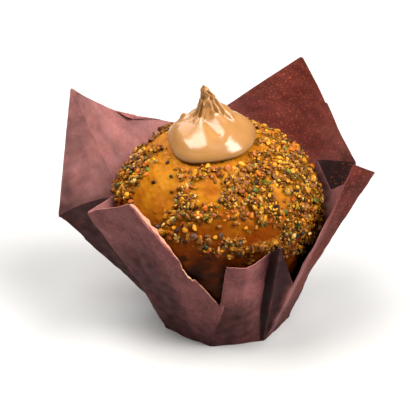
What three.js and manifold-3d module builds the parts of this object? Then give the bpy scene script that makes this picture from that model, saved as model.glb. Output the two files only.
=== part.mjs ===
// Glazed muffin with chopped nuts and a dollop of cream, in a tulip paper case.
// Millimetres, +Z up, origin in the middle of the case's flat foot, front towards -Y.

import * as THREE from 'three';
import { mergeVertices } from 'three/addons/utils/BufferGeometryUtils.js';
import Module from 'manifold-3d';

const wasm = await Module();
wasm.setup();

// Muffin: a straight-sided foot that the case shaped, a belt and a low dome
const FOOT_HEIGHT = 1.3;
const FOOT_REACH = 21.8;
const BELT_HEIGHT = 46;
const BELT_REACH = 36.4;
const TOP_HEIGHT = 75;
const LEAN = -3;
const LUMP = 0.014;

// Chopped nuts baked onto the crust
const NUT_SEED = 20;
const NUT_TRIES = 1500;
const NUT_MOST = 165;
const NUT_LONGEST = 2.1;
const NUT_SHORTEST = 1.15;
const NUT_LOW = 44;

// Patches of the crust, each with its middle as a turn in degrees and a height, and half its
// width in degrees and half its height: bare glaze between the nuts, and thick clumps of them
const BARE_PATCHES = [
  { turn: -137, height: 60.5, wide: 13, tall: 6.5 },
  { turn: -131, height: 66.5, wide: 9, tall: 3.2 },
  { turn: -97, height: 64, wide: 9, tall: 2.6 },
  { turn: -84, height: 54.6, wide: 16, tall: 2.3 },
  { turn: -62.5, height: 50.4, wide: 8, tall: 2.6 },
  { turn: -47, height: 61, wide: 4.5, tall: 3.8 },
  { turn: 60, height: 60, wide: 9, tall: 4 },
  { turn: 120, height: 57, wide: 12, tall: 5 },
  { turn: 165, height: 69, wide: 8, tall: 2.5 },
];
const CLUMPS = [
  { turn: -170, height: 58, wide: 14, tall: 8 },
  { turn: -106, height: 59.8, wide: 10, tall: 4.2 },
  { turn: -72, height: 64, wide: 9, tall: 4 },
  { turn: -58, height: 63, wide: 9, tall: 5 },
  { turn: -20, height: 60, wide: 28, tall: 12 },
  { turn: 20, height: 60, wide: 30, tall: 12 },
];

// Cream: a round dollop with a pulled peak left of its middle
const CREAM_X = -4.9;
const CREAM_Y = -3;
const CREAM_REACH = 16;
const CREAM_BODY = 6.8;
const PEAK_X = -7.2;
const PEAK_Y = -0.4;
const PEAK_RISE = 10.3;
const PEAK_WIDTH = 3.1;
const PEAK_LEAN = 0.55;

// Paper case: one square sheet, pressed round a cup and folded
const SHEET = 0.7;
const GAP = 0.3;
const PAPER_CLEAR = 0.55;
const CUP_REACH = 24.1;
const CUP_CORNERS = [-7, 37, 82, 127, 170, 206, 258, 306.5];
const KNEE_SHARE = 0.35;
const PAPER_STEP = 7;
const PAPER_LEVELS = 10;

const DEGREE = Math.PI / 180;

// Folds and corners of the sheet in the order that its edge runs round: the turn round the
// cup, the reach from its axis and the height of the edge there, and the turn of its foot.
// A knee is a bend in the fold on the way up.
const FOLDS = [
  { name: 'right flap fold', turn: -5.4, reach: 53.2, height: 62, foot: -7, knee: [-16, 31.4, 21.5] },
  { name: 'right pleat dip', turn: 1.5, reach: 38.4, height: 51.3, foot: -3 },
  { name: 'right pleat', turn: 10.3, reach: 33.5, height: 61.3, foot: 2 },
  { name: 'right petal end', turn: 16.1, reach: 50.5, height: 55.7, foot: 8 },
  { name: 'right petal tip', turn: 54.6, reach: 49.1, height: 87.2, foot: 40 },
  { name: 'right petal start', turn: 90.1, reach: 46, height: 63.6, foot: 80 },
  { name: 'back pleat', turn: 103.7, reach: 41, height: 56.4, foot: 98 },
  { name: 'left petal start', turn: 114.7, reach: 47.3, height: 58.7, foot: 112 },
  { name: 'left petal bend', turn: 139.8, reach: 52.7, height: 67.5, foot: 135 },
  { name: 'left petal tip', turn: 160.3, reach: 59.4, height: 83.5, foot: 155 },
  { name: 'left petal end', turn: 175.3, reach: 61.5, height: 38.4, foot: 170 },
  { name: 'left pleat bend', turn: 182.2, reach: 52.2, height: 47.1, foot: 178 },
  { name: 'left pleat', turn: 192.7, reach: 41, height: 54, foot: 192 },
  { name: 'left flap fold', turn: 203.7, reach: 52.3, height: 54, foot: 206 },
  { name: 'left flap corner', turn: 229.1, reach: 50.3, height: 66.5, foot: 238 },
  { name: 'left notch', turn: 268.6, reach: 31, height: 19.9, foot: 257 },
  { name: 'front pleat side', turn: 270.4, reach: 39, height: 42.2, foot: 260 },
  { name: 'front pleat middle', turn: 280.2, reach: 39.6, height: 41.9, foot: 281 },
  { name: 'front pleat trough', turn: 295.3, reach: 35.9, height: 43.9, foot: 302, knee: [297, 27.2, 15] },
  { name: 'front pleat tip', turn: 296.2, reach: 42.6, height: 49.4, foot: 306 },
  { name: 'right notch', turn: 311.1, reach: 35.9, height: 29.1, foot: 309 },
  { name: 'right flap corner', turn: 345, reach: 46.4, height: 68.3, foot: 337, knee: [-30, 31.2, 23.5] },
];

// Repeatable random numbers from 0 to 1
function randomSource(seed) {
  let state = seed;
  return () => {
    state = (Math.imul(state, 1664525) + 1013904223) >>> 0;
    return state / 4294967296;
  };
}

function polar(turn, reach, height) {
  return new THREE.Vector3(reach * Math.cos(turn * DEGREE), reach * Math.sin(turn * DEGREE), height);
}

// Turns a closed grid of rings, with one point below its first and one past its last, into a solid
function closedRings(rings, first, last) {
  const around = rings[0].length;
  const points = [first, ...rings.flat(), last];
  const end = points.length - 1;
  const index = [];
  for (let i = 0; i < around; i += 1) {
    const next = (i + 1) % around;
    index.push(0, 1 + next, 1 + i);
    for (let k = 0; k + 1 < rings.length; k += 1) {
      const low = 1 + k * around;
      const high = low + around;
      index.push(low + i, low + next, high + next, low + i, high + next, high + i);
    }
    const rim = 1 + (rings.length - 1) * around;
    index.push(rim + i, rim + next, end);
  }
  const geometry = new THREE.BufferGeometry().setFromPoints(points);
  geometry.setIndex(index);
  return geometry;
}

// Joins and cuts work on solids made from a geometry's bare positions
function solidOf(geometry) {
  const bare = geometry.clone();
  bare.deleteAttribute('normal');
  bare.deleteAttribute('uv');
  const merged = mergeVertices(bare);
  return new wasm.Manifold(new wasm.Mesh({
    numProp: 3,
    vertProperties: new Float32Array(merged.getAttribute('position').array),
    triVerts: new Uint32Array(merged.getIndex().array),
  }));
}

// The largest piece of a join, without its loose scraps and sealed hollows
function largestPiece(solid) {
  const pieces = solid.decompose();
  pieces.sort((a, b) => b.volume() - a.volume());
  return pieces[0];
}

function geometryOf(solid) {
  const mesh = solid.getMesh();
  const geometry = new THREE.BufferGeometry();
  geometry.setAttribute('position', new THREE.BufferAttribute(new Float32Array(mesh.vertProperties), 3));
  geometry.setIndex(new THREE.BufferAttribute(new Uint32Array(mesh.triVerts), 1));
  return geometry;
}

// Low swellings of the crust, which fade towards the top and the foot
function lump(turn, height) {
  const level = (height - FOOT_HEIGHT) / (TOP_HEIGHT - FOOT_HEIGHT);
  const fade = Math.sin(Math.PI * Math.min(Math.max(level, 0), 1)) ** 2;
  const waves = Math.sin(2 * turn + 0.9) + 0.7 * Math.sin(3 * turn - 0.4 + 0.06 * height)
    + 0.4 * Math.sin(5 * turn + 0.09 * height);
  return 1 + LUMP * fade * waves;
}

function crustMiddle(height) {
  const share = Math.min(height / BELT_HEIGHT, 1);
  return LEAN * share * share * (3 - 2 * share);
}

function crustReach(turn, height) {
  if (height >= BELT_HEIGHT) {
    const share = Math.min((height - BELT_HEIGHT) / (TOP_HEIGHT - BELT_HEIGHT), 1);
    return BELT_REACH * Math.sqrt(1 - share * share) * lump(turn, height);
  }
  const share = Math.max((height - FOOT_HEIGHT) / (BELT_HEIGHT - FOOT_HEIGHT), 0);
  const spread = share + share ** 3 * (1 - share);
  return (FOOT_REACH + (BELT_REACH - FOOT_REACH) * spread) * lump(turn, height);
}

function crustPoint(turn, height) {
  const reach = crustReach(turn, height);
  return new THREE.Vector3(
    crustMiddle(height) + reach * Math.cos(turn), reach * Math.sin(turn), height,
  );
}

// Height of the dome under a point of the plan
function crustTop(x, y) {
  const turn = Math.atan2(y, x - LEAN);
  const share = Math.min(Math.hypot(x - LEAN, y) / BELT_REACH, 1);
  let height = BELT_HEIGHT + (TOP_HEIGHT - BELT_HEIGHT) * Math.sqrt(1 - share * share);
  for (let pass = 0; pass < 4; pass += 1) {
    const scaled = Math.min(share / lump(turn, height), 1);
    height = BELT_HEIGHT + (TOP_HEIGHT - BELT_HEIGHT) * Math.sqrt(1 - scaled * scaled);
  }
  return height;
}

function crustGeometry() {
  const around = 48;
  const foot = 8;
  const dome = 11;
  const rings = [];
  const ringAt = (height) => Array.from({ length: around }, (_, i) => (
    crustPoint((2 * Math.PI * i) / around, height)
  ));
  for (let k = 0; k < foot; k += 1) {
    rings.push(ringAt(FOOT_HEIGHT + ((BELT_HEIGHT - FOOT_HEIGHT) * k) / foot));
  }
  for (let k = 0; k < dome; k += 1) {
    rings.push(ringAt(BELT_HEIGHT + (TOP_HEIGHT - BELT_HEIGHT) * Math.sin((Math.PI / 2) * (k / dome))));
  }
  const bottom = new THREE.Vector3(0, 0, FOOT_HEIGHT);
  const top = new THREE.Vector3(LEAN, 0, TOP_HEIGHT);
  return closedRings(rings, bottom, top);
}

// Lowest nuts: furthest down on the right, highest on the left front
function nutLow(turn) {
  return NUT_LOW - 6 * Math.cos(turn) + 2.4 * Math.cos(2 * turn + 4.36);
}

// How far a place of the crust lies inside any of the patches, from 0 to 1
function inPatches(patches, turn, height) {
  return Math.max(...patches.map((patch) => {
    const away = turn - patch.turn * DEGREE;
    const across = Math.atan2(Math.sin(away), Math.cos(away)) / (patch.wide * DEGREE);
    const up = (height - patch.height) / patch.tall;
    return Math.exp(-(across ** 4) - up ** 4);
  }));
}

// Chance that a nut sits at a place of the crust: thick on the right and along the lower edge
// of the coat, thin on the left front
function nutChance(turn, height) {
  const edge = Math.exp(-(((height - nutLow(turn) - 2.5) / 2.2) ** 2));
  return 0.62 + 0.24 * Math.cos(turn + 0.35) + 0.25 * edge
    + 0.5 * inPatches(CLUMPS, turn, height) - 1.1 * inPatches(BARE_PATCHES, turn, height);
}

function nutGeometry(random, long, place) {
  const nut = new THREE.IcosahedronGeometry(1, 0);
  nut.deleteAttribute('normal');
  nut.deleteAttribute('uv');
  const bare = mergeVertices(nut);
  const points = bare.getAttribute('position');
  for (let i = 0; i < points.count; i += 1) {
    const stretch = 0.82 + 0.3 * random();
    points.setXYZ(i, points.getX(i) * stretch, points.getY(i) * stretch, points.getZ(i) * stretch);
  }
  bare.scale(long, long * (0.62 + 0.25 * random()), long * (0.5 + 0.25 * random()));
  const spin = new THREE.Euler(0.7 * (random() - 0.5), 0.7 * (random() - 0.5), 6.28 * random());
  const outward = new THREE.Quaternion().setFromUnitVectors(new THREE.Vector3(0, 0, 1), place.outward);
  bare.applyQuaternion(new THREE.Quaternion().setFromEuler(spin).premultiply(outward));
  bare.translate(place.point.x, place.point.y, place.point.z);
  return bare;
}

// Outward direction of the crust, from two steps along its surface
function crustOutward(turn, height) {
  const step = 0.02;
  const here = crustPoint(turn, height);
  const along = crustPoint(turn + step, height).sub(here);
  const up = crustPoint(turn, height + step).sub(here);
  return along.cross(up).normalize();
}

// Places for the nuts, the largest first, clear of each other, the cream and the paper
function nutPlaces(random, paperPoints) {
  const places = [];
  for (let i = 0; i < NUT_TRIES && places.length < NUT_MOST; i += 1) {
    const age = places.length / NUT_MOST;
    const long = NUT_LONGEST - (NUT_LONGEST - NUT_SHORTEST) * Math.sqrt(age);
    const turn = 2 * Math.PI * random();
    const low = nutLow(turn);
    const height = low + (TOP_HEIGHT - 1.5 - low) * random();
    const outward = crustOutward(turn, height);
    const point = crustPoint(turn, height).addScaledVector(outward, 0.15 * long);
    const chosen = random() < nutChance(turn, height);
    const nearNut = places.some((other) => other.point.distanceTo(point) < 0.85 * (other.long + long));
    const fromCream = Math.hypot(point.x - PEAK_X, point.y - PEAK_Y)
      - creamEdge(Math.atan2(point.y - PEAK_Y, point.x - PEAK_X));
    const nearPaper = paperPoints.some((other) => other.distanceTo(point) < 1.1 * long + PAPER_CLEAR + 0.5);
    if (chosen && !nearNut && !nearPaper && fromCream > 1.1 * long + GAP) {
      places.push({ point, outward, long });
    }
  }
  return places;
}

function muffinGeometry(paperPoints) {
  const random = randomSource(NUT_SEED);
  const nuts = nutPlaces(random, paperPoints).map((place) => (
    solidOf(nutGeometry(random, place.long, place))
  ));
  const joined = nuts.reduce((body, nut) => body.add(nut), solidOf(crustGeometry()));
  return geometryOf(largestPiece(joined));
}

// Distance from the peak to the rim of the cream, which is a lobed circle round its own middle
function creamEdge(turn) {
  const x = PEAK_X - CREAM_X;
  const y = PEAK_Y - CREAM_Y;
  const along = x * Math.cos(turn) + y * Math.sin(turn);
  const lobes = 1 + 0.035 * Math.sin(3 * turn + 0.6) + 0.025 * Math.sin(5 * turn - 0.8);
  return lobes * (Math.sqrt(along * along - x * x - y * y + CREAM_REACH ** 2) - along);
}

// Rise of the cream's upper face over its rounded body: a peak that falls off steeply on its
// left and broadly on its right, a roll that runs down to the right, and a trough in front
function creamRise(turn, reach) {
  const width = PEAK_WIDTH * (1 + PEAK_LEAN * Math.cos(turn));
  const alongRay = (ray, middle, wide) => (
    Math.exp(-((((turn - ray) * reach) / wide) ** 2) - ((reach - middle) / 4) ** 2)
  );
  const roll = 1.0 * alongRay(-13 * DEGREE, 7.5, 1.6);
  const trough = 0.9 * alongRay((-81 + 1.5 * (reach - 6)) * DEGREE, 8, 2);
  return PEAK_RISE * Math.exp(-((reach / width) ** 1.25)) + roll - trough;
}

function creamGeometry() {
  const around = 40;
  const under = 3;
  const over = 17;
  const tuck = 24 * DEGREE;
  const place = (turn, share, lift) => {
    const reach = share * creamEdge(turn);
    const x = PEAK_X + reach * Math.cos(turn);
    const y = PEAK_Y + reach * Math.sin(turn);
    return new THREE.Vector3(x, y, crustTop(x, y) + GAP + lift);
  };
  const turns = Array.from({ length: around }, (_, i) => (2 * Math.PI * i) / around - Math.PI);
  const rings = [];
  for (let k = 1; k < under; k += 1) {
    rings.push(turns.map((turn) => place(turn, (Math.cos(tuck) * k) / under, 0)));
  }
  for (let k = 0; k < over; k += 1) {
    const rise = -tuck + (Math.PI / 2 + tuck) * (k / over);
    const share = Math.cos(rise) ** 0.8;
    const body = (CREAM_BODY * (Math.sin(rise) + Math.sin(tuck))) / (1 + Math.sin(tuck));
    rings.push(turns.map((turn) => {
      const ramp = Math.min(1, Math.max(0, rise) * 1.6);
      return place(turn, share, body + ramp * creamRise(turn, share * creamEdge(turn)));
    }));
  }
  const low = place(0, 0, 0);
  const tip = place(0, 0, CREAM_BODY + PEAK_RISE);
  return closedRings(rings, low, tip);
}

// Point of the cup's straight-sided foot at a turn
function cupPoint(turn, height) {
  const full = (value) => ((value % 360) + 360) % 360;
  const corners = CUP_CORNERS.map(full).sort((a, b) => a - b);
  const here = full(turn);
  const after = corners.find((corner) => corner > here) ?? corners[0] + 360;
  const before = corners.findLast((corner) => corner <= here) ?? corners.at(-1) - 360;
  const half = ((after - before) / 2) * DEGREE;
  const middle = (after + before) / 2;
  const reach = (CUP_REACH * Math.cos(half)) / Math.cos((here - middle) * DEGREE);
  return polar(turn, reach, height);
}

function foldPoint(fold, share) {
  const foot = cupPoint(fold.foot, SHEET);
  const tip = polar(fold.turn, fold.reach, fold.height);
  const knee = fold.knee ? polar(...fold.knee) : foot.clone().lerp(tip, KNEE_SHARE);
  if (share < KNEE_SHARE) {
    return foot.lerp(knee, share / KNEE_SHARE);
  }
  return knee.lerp(tip, (share - KNEE_SHARE) / (1 - KNEE_SHARE));
}

// The paper's inner face lies on the straight panels between folds, pushed out where the muffin is
function paperPoint(fold, next, across, share) {
  const point = foldPoint(fold, share).lerp(foldPoint(next, share), across);
  const middle = crustMiddle(point.z);
  const turn = Math.atan2(point.y, point.x - middle);
  const reach = Math.hypot(point.x - middle, point.y);
  const least = crustReach(turn, point.z) + PAPER_CLEAR;
  if (reach < least && point.z < TOP_HEIGHT) {
    point.x = middle + least * Math.cos(turn);
    point.y = least * Math.sin(turn);
  }
  return point;
}

// Rows of points up the sheet's inner face, one column after another round the case
function paperColumns(step, levels) {
  return FOLDS.flatMap((fold, i) => {
    const next = FOLDS[(i + 1) % FOLDS.length];
    const width = foldPoint(fold, 1).distanceTo(foldPoint(next, 1));
    const parts = Math.max(1, Math.round(width / step));
    return Array.from({ length: parts }, (_, k) => (
      Array.from({ length: levels + 1 }, (__, level) => paperPoint(fold, next, k / parts, level / levels))
    ));
  });
}

// Outward direction at a point of the sheet, from its neighbours
function paperOutward(columns, i, level) {
  const count = columns.length;
  const here = columns[i][level];
  const before = columns[(i + count - 1) % count][level];
  const after = columns[(i + 1) % count][level];
  const low = columns[i][Math.max(level - 1, 0)];
  const high = columns[i][Math.min(level + 1, columns[i].length - 1)];
  const up = high.clone().sub(low).normalize();
  const first = here.clone().sub(before).normalize().cross(up);
  const second = after.clone().sub(here).normalize().cross(up);
  return first.normalize().add(second.normalize()).normalize();
}

function paperGeometry() {
  const columns = paperColumns(PAPER_STEP, PAPER_LEVELS);
  const outer = columns.map((column, i) => column.map((point, level) => {
    const moved = point.clone().addScaledVector(paperOutward(columns, i, level), SHEET);
    moved.z = level === 0 ? 0 : moved.z;
    return moved;
  }));
  const ring = (grid, level) => grid.map((column) => column[level]);
  const rings = [];
  for (let level = 0; level <= PAPER_LEVELS; level += 1) {
    rings.push(ring(outer, level));
  }
  for (let level = PAPER_LEVELS; level >= 0; level -= 1) {
    rings.push(ring(columns, level));
  }
  return closedRings(rings, new THREE.Vector3(0, 0, 0), new THREE.Vector3(0, 0, SHEET));
}

function addPart(group, name, geometry, color, roughness) {
  const mesh = new THREE.Mesh(geometry, new THREE.MeshStandardMaterial({ color, roughness, metalness: 0 }));
  mesh.name = name;
  group.add(mesh);
}

const muffin = new THREE.Group();
const paperPoints = paperColumns(1.6, 3 * PAPER_LEVELS).flat();
addPart(muffin, 'paper_case', paperGeometry(), 0x6e4648, 0.75);
addPart(muffin, 'muffin', muffinGeometry(paperPoints), 0xd08a22, 0.45);
addPart(muffin, 'cream', creamGeometry(), 0xd8a25a, 0.25);

export default muffin;
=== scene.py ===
# Glazed muffin with chopped nuts and a dollop of cream, in a tulip paper case
import math

import bmesh
import bpy
import numpy as np
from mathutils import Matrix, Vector


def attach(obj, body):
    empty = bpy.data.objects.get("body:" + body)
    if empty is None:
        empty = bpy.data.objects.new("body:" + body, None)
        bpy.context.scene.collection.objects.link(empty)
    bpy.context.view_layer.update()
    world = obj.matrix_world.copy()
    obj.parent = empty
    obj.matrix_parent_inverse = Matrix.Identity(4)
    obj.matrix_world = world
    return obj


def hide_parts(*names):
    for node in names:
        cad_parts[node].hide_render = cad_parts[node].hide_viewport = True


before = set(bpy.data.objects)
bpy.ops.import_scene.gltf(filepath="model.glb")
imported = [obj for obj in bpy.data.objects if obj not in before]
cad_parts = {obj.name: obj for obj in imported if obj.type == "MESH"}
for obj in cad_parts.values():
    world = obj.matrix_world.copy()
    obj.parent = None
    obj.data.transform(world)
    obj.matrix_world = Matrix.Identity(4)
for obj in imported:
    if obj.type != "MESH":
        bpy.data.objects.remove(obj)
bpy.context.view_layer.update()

# Lengths are in millimetres here and become metres where a mesh, a lamp or a pattern is made
MM = 0.001

# Muffin: a straight-sided foot that the case shaped, a belt and a low dome
FOOT_HEIGHT = 1.3
FOOT_REACH = 21.8
BELT_HEIGHT = 46
BELT_REACH = 36.4
TOP_HEIGHT = 75
LEAN = -3
LUMP = 0.014

# The largest nuts, drawn in the same order as the solid's
NUT_SEED = 20
NUT_TRIES = 1500
NUT_MOST = 165
NUT_LONGEST = 2.1
NUT_SHORTEST = 1.15
NUT_LOW = 44

# Smaller nuts: how many, shortest and longest half length, height of their pile and share that
# stick to bare glaze. The grains of ground crumb have their numbers with their colours.
MEDIUM_NUTS = (1350, (0.8, 1.7), 0.5, 0.6)
SMALL_NUTS = (3500, (0.44, 0.86), 0.9, 0.3)
GRAINS = ((0.2, 0.42), 0.6, 0.08)

# The lowest place that is tried for them, the tries for each, and the boxes of space in which
# the paper keeps them out
BIT_LOW = 36
BIT_TRIES = 7
PAPER_BOX = 1.8

# Patches of the crust: middle as a turn in degrees and a height, half the width in degrees and
# half the height. Bare glaze shows between the nuts, and they lie thickest in the clumps.
BARE_PATCHES = [
    (-137, 60.5, 13, 6.5), (-131, 66.5, 9, 3.2), (-97, 64, 9, 2.6), (-84, 54.6, 16, 2.3),
    (-62.5, 50.4, 8, 2.6), (-47, 61, 4.5, 3.8), (60, 60, 9, 4), (120, 57, 12, 5),
    (165, 69, 8, 2.5),
]
CLUMPS = [
    (-170, 58, 14, 8), (-106, 59.8, 10, 4.2), (-72, 64, 9, 4), (-58, 63, 9, 5),
    (-20, 60, 28, 12), (20, 60, 30, 12),
]
# Where the fine crumb lies thick between the nuts, as patches like those above
CRUMB_CLUMPS = [
    (-109, 60.6, 11, 3.4), (-98, 58.7, 7, 2.2), (-81, 64.5, 5.5, 4), (-66, 64.2, 7, 3.2),
    (-58, 60, 9, 4.4), (-46, 68.6, 14, 2.6), (-34, 56, 9, 5), (-24, 63, 12, 5),
    (-66, 46.6, 14, 1.7), (-46, 50, 8, 3), (-101, 51.6, 4, 0.8), (-80, 50.0, 5, 0.9),
    (-128, 68.6, 7, 1.4), (-104, 69.2, 7, 1.2), (-158, 60, 7, 6), (-172, 64, 10, 6),
    (178, 57, 10, 9), (-4, 56, 16, 11), (14, 64, 14, 6), (34, 54, 18, 12),
    (74, 60, 18, 8), (96, 50, 10, 5), (128, 66, 14, 4), (150, 55, 9, 7),
]
# Spots low on the side where the glaze caught and burnt
BURNS = [
    (-108.6, 42.6, 3.5, 0.9), (-93.9, 43.2, 4, 0.7), (-99.3, 39.1, 5, 1.2), (-92.4, 35.9, 6, 1.1),
    (-76, 38, 3, 0.8), (-150, 41, 5, 1), (30, 40, 6, 1.2), (130, 41, 5, 1),
]

# Cream: a round dollop with a pulled peak left of its middle
CREAM_X = -4.9
CREAM_Y = -3
CREAM_REACH = 16
CREAM_BODY = 6.8
CREAM_GAP = 0.3
PEAK_X = -7.2
PEAK_Y = -0.4
PEAK_RISE = 10.3
PEAK_WIDTH = 3.1
PEAK_LEAN = 0.55
PEAK_BLUNT = 1.0
PEAK_BEND = 0.6
PEAK_TEAR = 0.2
PEAK_GRAIN = 2.6

# Paper case: one square sheet, pressed round a cup and folded. The real paper is thinner than
# the solid's sheet, so its outer face lies inside the solid's.
SHEET = 0.7
PAPER = 0.25
PAPER_CLEAR = 0.55
CUP_REACH = 24.1
CUP_CORNERS = [-7, 37, 82, 127, 170, 206, 258, 306.5]
KNEE_SHARE = 0.35

# Degrees by which the left flap's hem and the left petal's lip are bent over, and the height of
# the lapped step beside the right notch
HEM_BEND = 56
LIP_BEND = 155
NOTCH_STEP = 0.7

# Folds and corners of the sheet in the order that its edge runs round: turn round the cup,
# reach and height of the edge there, turn of the fold's foot, and a knee where it bends
FOLDS = {
    "right flap fold": (-5.4, 53.2, 62, -7, (-16, 31.4, 21.5)),
    "right pleat dip": (1.5, 38.4, 51.3, -3, None),
    "right pleat": (10.3, 33.5, 61.3, 2, None),
    "right petal end": (16.1, 50.5, 55.7, 8, None),
    "right petal tip": (54.6, 49.1, 87.2, 40, None),
    "right petal start": (90.1, 46, 63.6, 80, None),
    "back pleat": (103.7, 41, 56.4, 98, None),
    "left petal start": (114.7, 47.3, 58.7, 112, None),
    "left petal bend": (139.8, 52.7, 67.5, 135, None),
    "left petal tip": (160.3, 59.4, 83.5, 155, None),
    "left petal end": (175.3, 61.5, 38.4, 170, None),
    "left pleat bend": (182.2, 52.2, 47.1, 178, None),
    "left pleat": (192.7, 41, 54, 192, None),
    "left flap fold": (203.7, 52.3, 54, 206, None),
    "left flap corner": (229.1, 50.3, 66.5, 238, None),
    "left notch": (268.6, 31, 19.9, 257, None),
    "front pleat side": (270.4, 39, 42.2, 260, None),
    "front pleat middle": (280.2, 39.6, 41.9, 281, None),
    "front pleat trough": (295.3, 35.9, 43.9, 302, (297, 27.2, 15)),
    "front pleat tip": (296.2, 42.6, 49.4, 306, None),
    "right notch": (311.1, 35.9, 29.1, 309, None),
    "right flap corner": (345, 46.4, 68.3, 337, (-30, 31.2, 23.5)),
}
NAMES = list(FOLDS)

# Corners of the sheet that are worn round, with the radius
WORN_CORNERS = {
    "left petal tip": 1.3,
    "right petal tip": 1.2,
    "left flap corner": 1.4,
    "right flap fold": 1.1,
    "left petal end": 1.0,
    "left flap fold": 0.8,
    "front pleat tip": 0.8,
}

# Creases pressed into the sheet: each end as a fold, the share of the way to the next fold and
# the share of the way up, then the height of the ridge and how far it spreads
CREASES = [
    (("left petal bend", 0.83, 1.0), ("left petal bend", 0.0, 0.90), 0.50, 5.0),
    (("left petal bend", 0.0, 0.90), ("left petal start", 0.5, 0.72), 0.25, 5.0),
    (("left petal tip", 0.45, 0.78), ("left petal bend", 0.55, 0.73), 0.30, 3.0),
    (("left petal tip", 0.95, 0.93), ("left petal bend", 0.8, 0.55), -0.45, 5.0),
    (("left petal tip", 0.62, 0.72), ("left petal bend", 0.75, 0.60), 0.20, 2.0),
    (("right petal tip", 0.1, 0.94), ("right petal end", 0.8, 0.70), 0.30, 6.0),
    (("right petal tip", 0.55, 0.96), ("right petal tip", 0.2, 0.55), -0.30, 6.0),
    (("left flap fold", 0.15, 0.98), ("left flap fold", 0.45, 0.35), 0.25, 3.5),
    (("left flap fold", 0.55, 0.97), ("left flap fold", 0.6, 0.45), -0.25, 4.0),
    (("left flap fold", 0.2, 0.22), ("left flap corner", 0.6, 0.35), 0.25, 2.5),
    (("front pleat side", 0.3, 0.95), ("front pleat side", 0.45, 0.25), 0.15, 2.0),
    (("right notch", 0.35, 0.55), ("right notch", 0.8, 0.30), 0.30, 2.5),
    (("right flap corner", 0.3, 0.9), ("right notch", 0.9, 0.5), 0.20, 3.0),
]

# Where the sheet is darkened, as painted shade in its deep folds, on its shaded faces and as grease
# blotches: a fold, then a stretch of the way to the next folds and a stretch of the way up, each as its
# middle and its half width, and how dark it is
GREASE_AND_PAINTED_SHADE = [
    ("front pleat trough", 0.55, 0.56, 0.5, 0.85, 0.98),
    ("front pleat tip", 0.42, 0.5, 0.6, 0.8, 0.93),
    ("front pleat side", 0.6, 1.1, 0.18, 0.36, 0.72),
    ("right pleat", 0.5, 0.62, 0.75, 0.5, 1.0),
    ("left flap fold", 0.6, 0.62, 0.26, 0.42, 0.68),
    ("right pleat dip", 0.5, 0.6, 0.75, 0.5, 0.6),
    ("left flap fold", 0.62, 0.1, 0.62, 0.16, 0.35),
    ("left flap fold", 0.85, 0.12, 0.5, 0.1, 0.3),
    ("left flap corner", 0.12, 0.12, 0.4, 0.14, 0.35),
    ("left petal end", 0.8, 1.2, 0.6, 0.7, 0.75),
    ("left petal tip", 0.1, 0.5, 1.0, 0.22, 0.36),
]


def hex_colour(text):
    """An sRGB hex colour as linear red, green, blue and alpha."""
    values = [int(text[i:i + 2], 16) / 255 for i in (1, 3, 5)]
    return [v / 12.92 if v <= 0.04045 else ((v + 0.055) / 1.055) ** 2.4 for v in values] + [1.0]


def unit(vectors):
    """Vectors made one long."""
    return vectors / (np.linalg.norm(vectors, axis=-1, keepdims=True) + 1e-12)


def waves(points, size, seed):
    """A smooth uneven field of about one unit, from crossing waves of a size in millimetres."""
    rng = np.random.default_rng(seed)
    count = 24
    total = np.zeros(points.shape[:-1])
    for _ in range(count):
        direction = unit(rng.normal(size=3)) * 2 * np.pi * rng.uniform(0.7, 1.4) / size
        total += np.sin(points @ direction + rng.uniform(0, 2 * np.pi))
    return total / math.sqrt(count / 2)


def smooth_step(low, high, values):
    """From 0 at the low end to 1 at the high end, level at both."""
    share = np.clip((values - low) / (high - low), 0, 1)
    return share * share * (3 - 2 * share)


def mesh_object(name, points, faces, values=None, sharp=None):
    """A smooth-shaded mesh from millimetre points, with named values for its material."""
    mesh = bpy.data.meshes.new(name)
    mesh.from_pydata((np.asarray(points) * MM).tolist(), [], faces)
    for key, numbers in (values or {}).items():
        layer = mesh.attributes.new(key, "FLOAT", "POINT")
        layer.data.foreach_set("value", np.asarray(numbers, dtype=np.float32))
    mesh.polygons.foreach_set("use_smooth", [True] * len(mesh.polygons))
    if sharp is not None:
        mesh.set_sharp_from_angle(angle=math.radians(sharp))
    mesh.update()
    piece = bpy.data.objects.new(name, mesh)
    bpy.context.scene.collection.objects.link(piece)
    return piece


def closed_rings(rings, first, last):
    """Points and faces of a closed form: one point, rings that run round, and one more point."""
    around = len(rings[0])
    points = np.vstack([*rings, [first], [last]])
    end = len(points) - 1
    rim = (len(rings) - 1) * around
    faces = []
    for i in range(around):
        after = (i + 1) % around
        faces.append((end - 1, after, i))
        faces.append((rim + i, rim + after, end))
    for low in range(0, rim, around):
        for i in range(around):
            after = (i + 1) % around
            faces.append((low + i, low + after, low + around + after, low + around + i))
    return points, faces


# Form of the baked crust

def lump(turn, height):
    """Low swellings of the crust, which fade towards the top and the foot."""
    level = np.clip((height - FOOT_HEIGHT) / (TOP_HEIGHT - FOOT_HEIGHT), 0, 1)
    swell = (np.sin(2 * turn + 0.9) + 0.7 * np.sin(3 * turn - 0.4 + 0.06 * height)
             + 0.4 * np.sin(5 * turn + 0.09 * height))
    return 1 + LUMP * np.sin(np.pi * level) ** 2 * swell


def crust_middle(height):
    """Where the cake's middle is at a height: its top leans to the left."""
    return LEAN * smooth_step(0, BELT_HEIGHT, height)


def crust_reach(turn, height):
    """Distance from the cake's middle to its crust."""
    up = np.clip((height - BELT_HEIGHT) / (TOP_HEIGHT - BELT_HEIGHT), 0, 1)
    down = np.clip((height - FOOT_HEIGHT) / (BELT_HEIGHT - FOOT_HEIGHT), 0, 1)
    dome = BELT_REACH * np.sqrt(1 - up * up)
    side = FOOT_REACH + (BELT_REACH - FOOT_REACH) * (down + down ** 3 * (1 - down))
    return np.where(height >= BELT_HEIGHT, dome, side) * lump(turn, height)


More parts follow.
